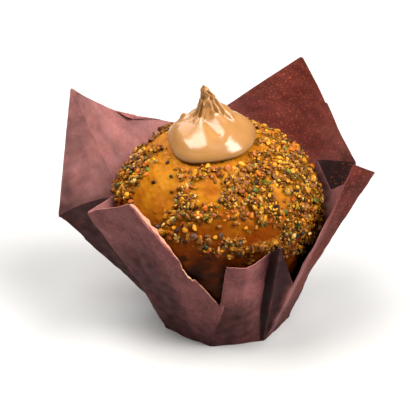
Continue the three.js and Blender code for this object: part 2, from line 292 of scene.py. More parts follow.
def crust_point(turn, height):
    """Point of the crust at a turn and a height."""
    reach = crust_reach(turn, height)
    return np.stack([
        crust_middle(height) + reach * np.cos(turn), reach * np.sin(turn), height + 0 * reach,
    ], axis=-1)


def crust_outward(turn, height):
    """Outward direction of the crust, from two points beside each."""
    step = 0.02
    here = crust_point(turn, height)
    along = crust_point(turn + step, height) - here
    up = crust_point(turn, height + step) - here
    return unit(np.cross(along, up))


def crust_top(x, y):
    """Height of the dome under points of the plan."""
    turn = np.arctan2(y, x - LEAN)
    share = np.minimum(np.hypot(x - LEAN, y) / BELT_REACH, 1)
    height = BELT_HEIGHT + (TOP_HEIGHT - BELT_HEIGHT) * np.sqrt(1 - share * share)
    for _ in range(4):
        scaled = np.minimum(share / lump(turn, height), 1)
        height = BELT_HEIGHT + (TOP_HEIGHT - BELT_HEIGHT) * np.sqrt(1 - scaled * scaled)
    return height


def in_patches(patches, turn, height):
    """How far places of the crust lie inside any of the patches, from 0 to 1."""
    most = np.zeros(np.shape(turn))
    for middle, level, wide, tall in patches:
        away = np.degrees(np.angle(np.exp(1j * (turn - math.radians(middle)))))
        most = np.maximum(most, np.exp(-(away / wide) ** 4 - ((height - level) / tall) ** 4))
    return most


def lowest_nuts(turn):
    """Furthest down on the right, highest on the left front."""
    return NUT_LOW - 6 * np.cos(turn) + 2.4 * np.cos(2 * turn + 4.36)


def nut_chance(turn, height):
    """Chance that a nut sits at a place of the crust, as in the solid."""
    edge = np.exp(-((height - lowest_nuts(turn) - 2.5) / 2.2) ** 2)
    return (0.62 + 0.24 * np.cos(turn + 0.35) + 0.25 * edge
            + 0.5 * in_patches(CLUMPS, turn, height) - 1.1 * in_patches(BARE_PATCHES, turn, height))


def coat(turn, height):
    """How thick the coat of crumb is, from bare glaze at 0 to a full coat at 1."""
    points = crust_point(turn, height)
    right = 0.32 * smooth_step(-0.35, 0.75, np.cos(turn + 0.2))
    ragged = 0.2 * waves(points, 7, 5) + 0.24 * waves(points, 3.2, 6)
    cover = smooth_step(0.3, 0.75, right + 0.85 * in_patches(CRUMB_CLUMPS, turn, height) + ragged
                        - 0.7 * in_patches(BARE_PATCHES, turn, height))
    edge = (height - lowest_nuts(turn) + 1.5 * waves(points, 5, 7)) / 4
    return cover * np.clip(edge + 0.5, 0, 1)


def coat_relief(points, cover):
    """Height of the crumb coat over the glaze, in soft heaps with a grain on them."""
    return cover * (0.75 + 0.5 * waves(points, 3.8, 3) + 0.18 * waves(points, 1.3, 9))


def strays(turn, height):
    """How many single nuts stick to the glaze outside the clumps, as a share of a full coat."""
    points = crust_point(turn, height)
    share = smooth_step(0.15, 0.95, nut_chance(turn, height) + 0.15 * waves(points, 5, 13))
    return share * np.clip((height - lowest_nuts(turn)) / 2 + 0.5, 0, 1)


def bake_and_painted_shade(turn, height):
    """How dark the side is painted, from golden on top at 0 to nearly black at the foot at 1: browning
    from the bake and painted shade low in the case.
    """
    level = np.interp(height, [34, 42, 48, 54, 58, 64], [1, 0.85, 0.65, 0.48, 0.22, 0.02])
    return np.clip(level + 0.07 * waves(crust_point(turn, height), 12, 10), 0, 1)


def make_crust():
    """The baked cake: rings from the middle of its underside to the top of the dome."""
    around, foot, dome = 420, 100, 150
    turns = np.linspace(0, 2 * np.pi, around, endpoint=False)
    rise = np.linspace(0, np.pi / 2, dome, endpoint=False)
    heights = np.concatenate([
        np.linspace(FOOT_HEIGHT, BELT_HEIGHT, foot, endpoint=False),
        BELT_HEIGHT + (TOP_HEIGHT - BELT_HEIGHT) * np.sin(rise),
    ])
    height, turn = np.meshgrid(heights, turns, indexing="ij")
    points = crust_point(turn, height)
    cover = coat(turn, height)
    burnt = in_patches(BURNS, turn, height + 0.5 * waves(points, 3, 8))
    low = smooth_step(52, 36, height)
    relief = 0.14 * waves(points, 7, 1) + 0.055 * waves(points, 2.4, 2)
    relief += coat_relief(points, cover)
    relief -= low * np.maximum(0.12 * waves(points, 1.8, 4), 0) + 0.15 * burnt
    relief *= smooth_step(0, 2, height - FOOT_HEIGHT)
    below = height < lowest_nuts(turn) + 3
    relief = np.where(below, np.minimum(relief, 0.12), relief)
    relief *= smooth_step(TOP_HEIGHT, TOP_HEIGHT - 3, height)
    points = points + crust_outward(turn, height) * relief[..., None]
    points, faces = closed_rings(points, [0, 0, FOOT_HEIGHT], [LEAN, 0, TOP_HEIGHT])
    values = {
        "cover": np.append(cover.ravel(), [0, 1]),
        "burnt": np.append(burnt.ravel(), [0, 0]),
        "baked": np.append(bake_and_painted_shade(turn, height).ravel(), [1, 0]),
    }
    return mesh_object("crust", points, faces, values)


# Chopped nuts

def random_numbers(seed):
    """The same repeatable numbers from 0 to 1 that place the solid's nuts."""
    state = seed
    while True:
        state = (state * 1664525 + 1013904223) & 0xFFFFFFFF
        yield state / 4294967296


def cream_edge(turn):
    """Distance from the peak to the rim of the cream, a lobed circle round its own middle."""
    x = PEAK_X - CREAM_X
    y = PEAK_Y - CREAM_Y
    along = x * np.cos(turn) + y * np.sin(turn)
    lobes = 1 + 0.035 * np.sin(3 * turn + 0.6) + 0.025 * np.sin(5 * turn - 0.8)
    return lobes * (np.sqrt(along * along - x * x - y * y + CREAM_REACH ** 2) - along)


def from_cream(points):
    """Distance in the plan from the cream's rim, below zero under the cream."""
    x = points[..., 0] - PEAK_X
    y = points[..., 1] - PEAK_Y
    return np.hypot(x, y) - cream_edge(np.arctan2(y, x))


def large_nuts(paper_points):
    """Places of the largest nuts: those of the solid, clear of each other, cream and paper."""
    draw = random_numbers(NUT_SEED)
    points, outwards, longs = [], [], []
    for _ in range(NUT_TRIES):
        if len(points) == NUT_MOST:
            break
        long = NUT_LONGEST - (NUT_LONGEST - NUT_SHORTEST) * math.sqrt(len(points) / NUT_MOST)
        turn = 2 * math.pi * next(draw)
        low = lowest_nuts(turn)
        height = low + (TOP_HEIGHT - 1.5 - low) * next(draw)
        outward = crust_outward(turn, height)
        point = crust_point(turn, height) + outward * 0.15 * long
        chosen = next(draw) < nut_chance(turn, height)
        apart = not points or np.all(
            np.linalg.norm(np.array(points) - point, axis=1) >= 0.85 * (np.array(longs) + long))
        paper_gap = np.linalg.norm(paper_points - point, axis=1).min()
        clear = paper_gap >= 1.1 * long + PAPER_CLEAR + 0.5
        if chosen and apart and clear and from_cream(point) > 1.1 * long + CREAM_GAP:
            points.append(point)
            outwards.append(outward)
            longs.append(long)
    return np.array(points), np.array(outwards), np.array(longs)


def paper_boxes(paper_points):
    """Boxes of space that the paper passes through, for a quick test of what is near it."""
    return set(map(tuple, np.floor(paper_points / PAPER_BOX).astype(int).tolist()))


def off_paper(points, taken):
    """Which points lie in boxes that the paper doesn't pass through."""
    boxes = np.floor(points / PAPER_BOX).astype(int).tolist()
    return np.array([tuple(box) not in taken for box in boxes])


def small_nuts(count, sizes, pile, stray, seed, taken):
    """Places of smaller nuts: as thick as the coat, heaped up to the pile, with some strays."""
    rng = np.random.default_rng(seed)
    tries = count * BIT_TRIES
    highest = TOP_HEIGHT - 0.2
    turn = rng.uniform(-np.pi, np.pi, tries)
    height = BIT_LOW + (highest - BIT_LOW) * rng.uniform(0, 1, tries) ** 0.8
    cover = coat(turn, height)
    size = sizes[0] + (sizes[1] - sizes[0]) * rng.uniform(0, 1, tries) ** 1.4
    outward = crust_outward(turn, height)
    points = crust_point(turn, height)
    heap = coat_relief(points, cover) + pile * cover ** 1.5 * rng.uniform(-0.2, 1, tries)
    points = points + outward * np.maximum(heap, 0)[:, None]
    slope = np.sqrt(1 - np.clip(outward[:, 2], 0, 0.97) ** 2)
    room = crust_reach(turn, height) / BELT_REACH / np.maximum(slope, 0.3)
    keep = rng.uniform(0, 1, tries) < np.maximum(cover, stray * strays(turn, height)) * room
    keep &= (from_cream(points) > 0.8 * size + 0.2) & off_paper(points, taken)
    chosen = np.flatnonzero(keep)[:count]
    return points[chosen], outward[chosen], size[chosen]


def chopped_shapes(count, level, cuts, seed):
    """Angular bits of nut: balls cut flat by a few random planes."""
    rng = np.random.default_rng(seed)
    ball = bmesh.new()
    bmesh.ops.create_icosphere(ball, subdivisions=level, radius=1)
    round_points = np.array([v.co[:] for v in ball.verts])
    faces = np.array([[v.index for v in f.verts] for f in ball.faces])
    ball.free()
    shapes = []
    for _ in range(count):
        shape = round_points * rng.uniform(0.88, 1.12, (len(round_points), 1))
        for _ in range(cuts):
            normal = unit(rng.normal(size=3))
            over = np.maximum(shape @ normal - rng.uniform(0.3, 0.75), 0)
            shape = shape - over[:, None] * normal
        shapes.append(shape / np.abs(shape).max())
    return np.array(shapes), faces


def crumb_shapes(count, seed):
    """Grains too small to show more than eight faces."""
    rng = np.random.default_rng(seed)
    corners = np.array([[1, 0, 0], [-1, 0, 0], [0, 1, 0], [0, -1, 0], [0, 0, 1], [0, 0, -1]], float)
    round_top = [[0, 2, 4], [2, 1, 4], [1, 3, 4], [3, 0, 4]]
    round_foot = [[2, 0, 5], [1, 2, 5], [3, 1, 5], [0, 3, 5]]
    faces = np.array(round_top + round_foot)
    shapes = corners * rng.uniform(0.6, 1.15, (count, 6, 1)) + rng.uniform(-0.25, 0.25, (count, 6, 3))
    return shapes, faces


def turned_frames(outward, rng):
    """Axes for each bit: laid along the crust, turned at random and tipped a little."""
    count = len(outward)
    side = unit(np.cross(np.array([0.31, 0.9, 0.29]), outward))
    ahead = np.cross(outward, side)
    spin = rng.uniform(0, 2 * np.pi, (count, 1))
    first = side * np.cos(spin) + ahead * np.sin(spin)
    up = unit(outward + rng.normal(size=(count, 3)) * 0.28)
    first = unit(first - up * np.sum(first * up, axis=1, keepdims=True))
    return np.stack([first, np.cross(up, first), up], axis=2)


def scattered(places, shapes, seed):
    """Points, faces and one tone for each of many bits, as one mesh, the tone darkened low on the cake
    as painted shade.
    """
    centres, outward, sizes = places
    forms, faces = shapes
    rng = np.random.default_rng(seed)
    count, corners = len(centres), forms.shape[1]
    scale = np.stack([
        np.ones(count), rng.uniform(0.62, 0.95, count), rng.uniform(0.5, 0.8, count),
    ], axis=1) * sizes[:, None]
    bits = forms[rng.integers(len(forms), size=count)] * scale[:, None, :]
    points = np.einsum("nij,nkj->nki", turned_frames(outward, rng), bits) + centres[:, None, :]
    polygons = (faces[None] + corners * np.arange(count)[:, None, None]).reshape(-1, 3)
    # Painted shade: bits low on the side, inside the case, are darker
    tone = rng.uniform(0, 1, count) * np.interp(centres[:, 2], [42, 50, 60], [0.35, 0.75, 1])
    return points.reshape(-1, 3), polygons, np.repeat(tone, corners)


def joined(name, heaps, material):
    """One piece of all bits of a kind."""
    points, polygons, tones, start = [], [], [], 0
    for heap_points, heap_polygons, tone in heaps:
        points.append(heap_points)
        polygons.append(heap_polygons + start)
        tones.append(tone)
        start += len(heap_points)
    piece = mesh_object(name, np.vstack(points), np.vstack(polygons).tolist(),
                        {"tone": np.concatenate(tones)}, sharp=42)
    piece.data.materials.append(material)
    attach(piece, "root")
    return piece


# Kinds of chopped nut: what it is, share of the bits, then colours from shade to light
KINDS = {
    "nuts_golden": ("toasted_chopped_hazelnut", 0.58, ["#5C3404", "#825008", "#A66C0A", "#CC9424"]),
    "nuts_pale": ("blanched_chopped_almond", 0.07, ["#866426", "#A08038", "#B49A5C"]),
    "nuts_roasted": ("caramelised_chopped_hazelnut", 0.20, ["#4C2408", "#84420C", "#B05E10"]),
    "nuts_green": ("chopped_pistachio", 0.07, ["#2C300E", "#464E14", "#667220"]),
    "nuts_dark": ("dark_roasted_nut_skin", 0.08, ["#241208", "#3A1E0C", "#4E2C10"]),
}
# Ground crumb: what it is, how many grains, then colours from shade to light
CRUMBS = {
    "crumb_golden": ("ground_toasted_hazelnut", 8000, ["#543008", "#784A0A", "#96600C", "#B8821E"]),
    "crumb_brown": ("ground_nut_skin", 2600, ["#3A2008", "#5A340C", "#7A4A14"]),
    "crumb_green": ("ground_pistachio", 900, ["#34360E", "#4E5616", "#6A7220"]),
}

# Single nuts that stand out: for each kind their turns, heights and half lengths
SINGLES = {
    "nuts_golden": [
        (-95, 50.4, 1.5), (-84, 51, 1.5), (-79.5, 56.2, 1.3), (-78.6, 58.2, 1.0),
        (-73.6, 54, 1.2), (-122.5, 63.6, 1.0), (-98.5, 61.6, 1.4), (-60, 69.2, 1.9),
        (-67, 69.6, 1.5), (-54, 68, 1.6), (-63, 47, 1.4), (-54.5, 47, 1.3),
        (-75, 49.4, 1.1), (-164, 65.5, 1.5), (-169, 62.5, 1.3),
    ],
    "nuts_pale": [(-121.6, 53.6, 1.2)],
    "nuts_roasted": [
        (-106, 70.6, 1.2), (-94.4, 70.2, 1.3), (-79.2, 70.2, 1.5), (-87, 50, 1.0),
        (-94, 68.6, 1.2), (-152, 57.5, 1.2), (-118, 67.6, 1.0),
    ],
    "nuts_green": [(-104, 51.6, 1.0), (-129, 67, 1.1)],
    "nuts_dark": [(-140.5, 64.2, 1.4)],
}


def single_nuts(kind):
    """Places of the single nuts of a kind, sunk a little into the glaze."""
    turn, height, size = np.array(SINGLES[kind]).T
    turn = np.radians(turn)
    outward = crust_outward(turn, height)
    return crust_point(turn, height) + outward * 0.45 * size[:, None], outward, size


def split(places, shares, seed):
    """Deals places out at random, by shares that add up to one."""
    lots = np.random.default_rng(seed).choice(len(shares), size=len(places[0]), p=shares)
    return [tuple(part[lots == k] for part in places) for k in range(len(shares))]


def make_nuts(paper_points):
    """All nuts and crumb, one piece of each kind."""
    taken = paper_boxes(paper_points)
    shares = [share for _, share, _ in KINDS.values()]
    chips = chopped_shapes(24, 2, 5, 31)
    bits = chopped_shapes(24, 1, 4, 32)
    large = split(large_nuts(paper_points), shares, 41)
    medium = split(small_nuts(*MEDIUM_NUTS, 42, taken), shares, 43)
    small = split(small_nuts(*SMALL_NUTS, 44, taken), shares, 45)
    for k, (name, (substance, _, colours)) in enumerate(KINDS.items()):
        heaps = [
            scattered(single_nuts(name), chips, 110 + k),
            scattered(large[k], chips, 50 + k),
            scattered(medium[k], chips, 60 + k),
            scattered(small[k], bits, 70 + k),
        ]
        joined(name, heaps, nut_material(substance, colours))
    for k, (name, (substance, count, colours)) in enumerate(CRUMBS.items()):
        places = small_nuts(count, *GRAINS, 80 + k, taken)
        grains = scattered(places, crumb_shapes(40, 90 + k), 100 + k)
        joined(name, [grains], nut_material(substance, colours))


# Cream

# Folds of the cream in the plan, from its peak: a path, its width, and its height or depth
CREAM_FOLDS = [
    ([(0.5, -0.5), (1.8, -2.2), (2.6, -4.6)], 0.7, 1.5),
    ([(1.4, -0.7), (2.6, -1.9), (4.0, -3.2)], 0.6, -3.0),
    ([(3.4, -0.9), (4.8, -1.8), (6.2, -2.8)], 0.5, -1.6),
    ([(1.5, 0.3), (3.6, -0.4), (6.6, -1.6), (9.0, -2.6)], 1.2, 1.0),
    ([(5.4, -3.4), (7.4, -4.0), (9.4, -4.4)], 0.8, -0.8),
    ([(0.9, -4.2), (1.0, -6.0), (2.4, -8.5), (4, -10.5)], 1.8, -0.6),
    ([(-0.5, -1.3), (-1.4, -2.5), (-1.9, -3.6)], 0.6, -2.8),
    ([(-0.9, -2.6), (-2.0, -3.8), (-3.6, -5.0)], 0.45, 0.9),
    ([(-2.2, -1.2), (-3.4, -2.6), (-4.6, -3.6)], 0.6, -0.9),
    ([(-1.6, -0.4), (-3.0, -1.0), (-4.2, -1.4)], 0.4, -1.2),
    ([(0.2, -2.2), (0.3, -3.6), (-0.4, -5.2)], 0.5, -0.8),
    ([(-3, 0.4), (-6, 1.0), (-8.0, 1.4)], 1.5, 1.2),
    ([(-7.6, 1.3), (-8.1, 1.5)], 0.8, 1.0),
    ([(-9.2, -4.5), (-9, -9.5), (-5.5, -15)], 2.2, 0.5),
    ([(-2.5, -8), (-1, -12), (0, -15)], 2.6, 0.35),
    ([(7, -6), (9, -10), (8, -14)], 2.4, 0.4),
    ([(-4, 6), (0, 8), (5, 6), (8, 2)], 1.6, 0.8),
    ([(-6, 9), (0, 12), (7, 9)], 1.2, -0.6),
]


def stroke(x, y, path, width):
    """Closeness to a path in the plan, from 1 on it to 0 a few widths away."""
    nearest = np.full(np.shape(x), 1e9)
    for (ax, ay), (bx, by) in zip(path, path[1:]):
        dx, dy = bx - ax, by - ay
        share = np.clip(((x - ax) * dx + (y - ay) * dy) / (dx * dx + dy * dy), 0, 1)
        nearest = np.minimum(nearest, np.hypot(x - ax - share * dx, y - ay - share * dy))
    return np.exp(-(nearest / width) ** 2)


def cream_lift(turn, reach):
    """Rise over the rounded body: the pulled peak, its folds, and the strands down its left."""
    x = reach * np.cos(turn)
    y = reach * np.sin(turn)
    ridges = 0.13 * np.sin(5 * turn + 0.7 * reach) + 0.09 * np.sin(9 * turn - 1.1 * reach + 1)
    width = PEAK_WIDTH * (1 + PEAK_LEAN * np.cos(turn) + ridges * np.exp(-reach / 4))
    blunt = np.hypot(reach, PEAK_BLUNT) - PEAK_BLUNT
    lift = PEAK_RISE * np.exp(-(blunt / width) ** 1.25)
    for path, wide, height in CREAM_FOLDS:
        lift = lift + height * stroke(x, y, path, wide)
    strands = np.sin(14 * turn + 1.3 * reach) + 0.6 * np.sin(23 * turn - 2.1 * reach)
    lift += 0.16 * waves(np.stack([x, y, 0 * x], axis=-1), 1.6, 15) * np.exp(-(reach / 3) ** 2)
    left = smooth_step(-0.2, 0.8, -np.cos(turn - 0.5))
    return lift + 0.34 * strands * np.exp(-((reach - 1.6) / 1.2) ** 2) * left


def pulled(points, lift):
    """Leans the peak to the left and makes it uneven, as where a spoon tore it off."""
    points = points - np.outer(PEAK_BEND * (np.clip(lift, 0, None) / PEAK_RISE) ** 3, [1, 0, 0])
    torn = smooth_step(2.5, 6.5, lift)
    shift = [waves(points, PEAK_GRAIN, 51) * torn, waves(points, PEAK_GRAIN, 52) * torn, 0 * torn]
    return points + PEAK_TEAR * np.stack(shift, axis=1)


def make_cream():
    """The dollop: rings from the middle of its underside, round its tuck, to the tip of its peak."""
    around, under, side, over = 260, 6, 26, 150
    turns = np.linspace(0, 2 * np.pi, around, endpoint=False)
    edge = cream_edge(turns)
    tuck = math.radians(24)
    shoulder = math.radians(35)

    def ring(share, lift):
        x = PEAK_X + share * edge * np.cos(turns)
        y = PEAK_Y + share * edge * np.sin(turns)
        return np.stack([x, y, crust_top(x, y) + CREAM_GAP + lift], axis=1)

    def body_ring(share, rise):
        body = CREAM_BODY * (math.sin(rise) + math.sin(tuck)) / (1 + math.sin(tuck))
        fade = min(1.0, max(0.0, rise) * 1.6)
        lift = fade * cream_lift(turns, share * edge)
        lip = -0.1 * math.exp(-((share - 0.93) / 0.02) ** 2)
        lip = lip * smooth_step(-0.2, 0.9, -np.cos(turns - 0.6))
        return pulled(ring(share, body + lip + lift), lift)

    rings = [ring(math.cos(tuck) * (k + 0.5) / under, 0) for k in range(under)]
    for rise in np.linspace(-tuck, shoulder, side, endpoint=False):
        rings.append(body_ring(math.cos(rise) ** 0.8, rise))
    for step in np.linspace(0, 1, over, endpoint=False):
        share = math.cos(shoulder) ** 0.8 * (1 - step) ** 1.25
        rings.append(body_ring(share, math.acos(share ** 1.25)))
    centre = np.array([PEAK_X, PEAK_Y, crust_top(PEAK_X, PEAK_Y) + CREAM_GAP])
    tip = pulled((centre + [0, 0, CREAM_BODY + PEAK_RISE])[None], np.array([PEAK_RISE]))
    points, faces = closed_rings(rings, centre, tip[0])
    return mesh_object("cream_dollop", points, faces)


# Paper case

def polar(turn, reach, height):
    """Point at a turn in degrees, a distance from the cup's axis and a height."""
    turn = math.radians(turn)
    return np.array([reach * math.cos(turn), reach * math.sin(turn), height])


def cup_point(turn, height):
    """Point of the cup's straight-sided foot at a turn."""
    corners = sorted(corner % 360 for corner in CUP_CORNERS)
    here = turn % 360
    after = next((corner for corner in corners if corner > here), corners[0] + 360)
    before = next((corner for corner in reversed(corners) if corner <= here), corners[-1] - 360)
    half = math.radians((after - before) / 2)
    middle = (after + before) / 2
    reach = CUP_REACH * math.cos(half) / math.cos(math.radians(here - middle))
    return polar(turn, reach, height)


def fold_line(name, shares):
    """Points up a fold, from its foot at 0 to the sheet's edge at 1."""
    turn, reach, height, foot_turn, knee = FOLDS[name]
    foot = cup_point(foot_turn, SHEET)
    tip = polar(turn, reach, height)
    bend = polar(*knee) if knee else foot + (tip - foot) * KNEE_SHARE
    shares = np.asarray(shares)[..., None]
    below = foot + (bend - foot) * shares / KNEE_SHARE
    above = bend + (tip - bend) * (shares - KNEE_SHARE) / (1 - KNEE_SHARE)
    return np.where(shares < KNEE_SHARE, below, above)


def sheet_point(name, across, share):
    """A point of the sheet, part of the way from a fold to the next and part of the way up."""
    after = NAMES[(NAMES.index(name) + 1) % len(NAMES)]
    here = fold_line(name, share)
    return here + (fold_line(after, share) - here) * across


def push_off_crust(points):
    """Paper that would pass through the cake is pushed out to lie against it."""
    x, y, height = np.moveaxis(points, -1, 0)
    middle = crust_middle(height)
    turn = np.arctan2(y, x - middle)
    reach = np.hypot(x - middle, y)
    least = crust_reach(turn, height) + PAPER_CLEAR
    out = np.where((height < TOP_HEIGHT) & (reach < least), least, reach)
    return np.stack([middle + out * np.cos(turn), out * np.sin(turn), height], axis=-1)


def sheet_columns(step):
    """Columns up the sheet, each as its fold, its share of the way to the next, and both added up."""
    columns = []
    for i, name in enumerate(NAMES):
        width = np.linalg.norm(sheet_point(name, 1.0, 1.0) - sheet_point(name, 0.0, 1.0))
        parts = max(1, round(float(width) / step))
        columns += [(name, k / parts, i + k / parts) for k in range(parts)]
    return columns


def bare_sheet(step, levels):
    """The sheet as the solid has it, for tests of what is near it."""
    shares = np.linspace(0, 1, levels + 1)
    grid = np.array([sheet_point(name, across, shares) for name, across, _ in sheet_columns(step)])
    return push_off_crust(grid).reshape(-1, 3)


def stretch(along, name, start, end):
    """Way along a stretch of the edge from 0 to 1, given as shares of the way from a fold."""
    return np.clip((along - NAMES.index(name) - start) / (end - start), 0, 1)


def edge_length(columns, along):
    """Millimetres that the edge stands past or short of the straight lines between its folds."""
    edge = np.array([sheet_point(name, across, 1.0) for name, across, _ in columns])
    extra = np.zeros(len(columns))
    for name, radius in WORN_CORNERS.items():
        away = np.linalg.norm(edge - sheet_point(name, 0.0, 1.0), axis=1)
        extra -= 0.41 * radius * np.clip(1 - away / radius, 0, 1) ** 2
    extra -= 0.9 * np.sin(np.pi * stretch(along, "left petal bend", 0, 1))
    extra += 0.5 * np.sin(2 * np.pi * stretch(along, "left flap fold", 0.1, 1))
    bulge = stretch(along, "right petal end", 0.15, 0.55)
    extra += 0.7 * np.where(bulge < 1, bulge ** 3, 0)
    tear = stretch(along, "left flap corner", 0.54, 0.69)
    jagged = 1 + 0.2 * np.sin(17 * tear) + 0.15 * np.sin(41 * tear)
    extra -= 1.9 * np.sin(np.pi * tear) ** 0.6 * jagged
    extra += lip_width(along)
    return extra


def lip_width(along):
    """Width of the lip that is turned over along the left petal's upper edge."""
    return 1.7 * np.sin(np.pi * stretch(along, "left petal start", 0.2, 1.02) ** 1.5)


def band_width(along):
    """Width of the band that is bent in along the left flap's free edge, above and below its tear."""
    upper = 2.7 * np.sin(np.pi * stretch(along, "left flap corner", 0.0, 0.56) ** 0.6)
    return upper + 0.5 * np.sin(np.pi * stretch(along, "left flap corner", 0.66, 1.0)) ** 0.5


def bent_edge(grid, width, angle):
    """Bends a strip along the sheet's edge inwards by an angle."""
    edge = grid[:, -1]
    along = unit(np.roll(edge, -3, axis=0) - np.roll(edge, 3, axis=0))
    up = unit(edge - grid[:, -8])
    across = unit(up - along * np.sum(up * along, axis=1, keepdims=True))
    inward = np.cross(across, along)
    inward *= -np.sign(np.sum(inward * edge * [1, 1, 0], axis=1, keepdims=True))
    depth = np.einsum("nlk,nk->nl", edge[:, None] - grid, across)
    depth = np.maximum(depth, 0.7 * np.linalg.norm(edge[:, None] - grid, axis=2))
    over = np.clip(width[:, None] - depth, 0, None)[..., None]
    back = across[:, None] * (1 - math.cos(angle))
    return grid - over * (back - inward[:, None] * math.sin(angle))


def crease_relief(points):
    """Ridges along the pressed creases: highest on the crease, straight down to both sides."""
    total = np.zeros(points.shape[:-1])
    for start, end, height, width in CREASES:
        a, b = sheet_point(*start), sheet_point(*end)
        share = np.clip((points - a) @ (b - a) / np.sum((b - a) ** 2), 0, 1)
        away = np.linalg.norm(points - a - share[..., None] * (b - a), axis=-1)
        total += height * np.exp(-away / width)
    return total


def sheet_outward(grid):
    """Outward direction at each point of the sheet, from its neighbours."""
    up = np.gradient(grid, axis=1)
    first = unit(np.cross(grid - np.roll(grid, 1, axis=0), up))
    second = unit(np.cross(np.roll(grid, -1, axis=0) - grid, up))
    return unit(first + second)


def raised_sheet(columns, along, rise):
    """The sheet's inner face as a grid of points, with its worn edge, creases, hem and lip."""
    grid = []
    for (name, across, _), more in zip(columns, edge_length(columns, along)):
        length = np.linalg.norm(sheet_point(name, across, 1.0) - sheet_point(name, across, KNEE_SHARE))
        top = 1 + more * (1 - KNEE_SHARE) / length
        grid.append(sheet_point(name, across, rise * top))
    grid = push_off_crust(np.array(grid))
    relief = 0.35 * waves(grid, 34, 10) + 0.16 * waves(grid, 13, 11) + 0.05 * waves(grid, 4.5, 12)
    relief += crease_relief(grid)
    past_notch = (along - NAMES.index("right notch"))[:, None]
    lapped = smooth_step(-0.16, -0.02, past_notch) * smooth_step(1.2, 0, past_notch)
    relief += NOTCH_STEP * lapped
    grid = grid + sheet_outward(grid) * (relief * smooth_step(0, 0.2, rise))[..., None]
    grid = push_off_crust(grid)
    grid = bent_edge(grid, band_width(along), math.radians(HEM_BEND))
    return bent_edge(grid, lip_width(along), math.radians(LIP_BEND))


def torn_edge_and_lit_hem(grid, along):
    """How pale the torn edge is, and a painted highlight, less pale, on the bent-in hem, where it faces
    the light.
    """
    near_edge = 8
    count = grid.shape[1]
    tear = np.sin(np.pi * stretch(along, "left flap corner", 0.53, 0.70))
    torn = tear[:, None] * (np.arange(count) >= count - near_edge)
    from_edge = np.linalg.norm(grid - grid[:, -1:], axis=2)
    width = band_width(along)[:, None]
    # Painted highlight on the bent-in hem, at 0.4 of the torn edge's paleness
    painted_lit_hem = (from_edge < width * 0.95) & (width > 0.4)
    return np.maximum(torn, 0.4 * painted_lit_hem)


def backlit_places(along):
    """Columns of the right petal and the right flap, where light coming through the paper is painted: a
    darker, redder shade with glowing red flecks.
    """
    petal = np.sin(np.pi * stretch(along, "right petal end", -0.6, 2.6)) ** 0.6
    flap = np.sin(np.pi * stretch((along + 1.5) % len(NAMES), "right pleat dip", -1.3, 1.4))
    return np.maximum(petal, np.maximum(flap, 0) ** 0.6)


def painted_shade_and_grease(grid, along, rise):
    """How dark the sheet is painted: painted shade towards its foot and in the dark folds, and grease
    in blotches.
    """
    folds = len(NAMES)
    # Painted shade near the floor, darkest at the foot
    greasy = 0.6 * smooth_step(20, 2, grid[..., 2])
    for name, middle, wide, level, tall, dark in GREASE_AND_PAINTED_SHADE:
        away = (along - NAMES.index(name) - middle + folds / 2) % folds - folds / 2
        spread = np.exp(-(away[:, None] / wide) ** 6 - ((rise[None] - level) / tall) ** 6)
        greasy = np.maximum(greasy, dark * spread)
    return np.clip(greasy * (1 + 0.3 * waves(grid, 5, 14) * (1 - greasy)), 0, 1)


def make_paper():
    """The folded sheet: rings up its outer face, over the edge and down its inner face."""
    levels = 96
    columns = sheet_columns(0.8)
    along = np.array([place for _, _, place in columns])
    rise = 1 - (1 - np.linspace(0, 1, levels + 1)) ** 1.6
    grid = raised_sheet(columns, along, rise)
    outer = grid + sheet_outward(grid) * PAPER
    outer[:, 0, 2] = 0
    rings = [*outer.swapaxes(0, 1), *grid.swapaxes(0, 1)[::-1]]
    points, faces = closed_rings(rings, [0, 0, 0], [0, 0, SHEET])
    inner = np.zeros(len(points))
    inner[len(columns) * (levels + 1):-2] = 1

    def both_faces(values):
        return np.append(np.concatenate([values.T.ravel(), values.T[::-1].ravel()]), [0, 0])

    values = {
        "inner": inner,
        "torn": both_faces(torn_edge_and_lit_hem(grid, along)),
        "backlit": both_faces(backlit_places(along)[:, None] * np.ones(levels + 1)),
        "greasy": both_faces(painted_shade_and_grease(grid, along, rise)),
    }
    return mesh_object("paper_sheet", points, faces, values, sharp=34)


# Materials

def connect(tree, node, links):
    """Links a node's inputs to other nodes' first outputs, or to the outputs given."""
    for key, source in links.items():
        output = source.outputs[0] if isinstance(source, bpy.types.Node) else source
        tree.links.new(output, node.inputs[key])


def add(tree, kind, settings=None, links=None):
    """Adds a shader node with its settings, colour stops and links. A number as a key stands for
    a socket's place: on a colour mix 0 is the share, 6 the first colour and 7 the second."""
    node = tree.nodes.new("ShaderNode" + kind)
    for key, value in (settings or {}).items():
        if key == "stops":
            ramp = node.color_ramp.elements
            while len(ramp) < len(value):
                ramp.new(0.5)
            for element, (position, colour) in zip(ramp, value):
                element.position = position
                element.color = hex_colour(colour)
        elif isinstance(key, int) or key in node.inputs:
            node.inputs[key].default_value = value
        else:
            setattr(node, key, value)
    connect(tree, node, links or {})
    return node


def new_material(name, **sockets):
    """A material whose one surface shader has these constants on its own sockets."""
    material = bpy.data.materials.new(name)
    material.use_nodes = True
    tree = material.node_tree
    shader = tree.nodes["Principled BSDF"]
    for key, value in sockets.items():
        shader.inputs[key.replace("_", " ")].default_value = value
    place = add(tree, "TexCoord").outputs["Object"]
    return material, tree, shader, place


# Settings of the two ways in which colours are mixed
BLEND = {"data_type": "RGBA"}
MULTIPLY = {"data_type": "RGBA", "blend_type": "MULTIPLY"}


def per_mm(size):
    """Scale of a pattern whose features are this many millimetres across."""
    return 1 / (size * MM)


def stops(colours):
    """Colour stops spread evenly from 0 to 1."""
    return [(i / (len(colours) - 1), colour) for i, colour in enumerate(colours)]


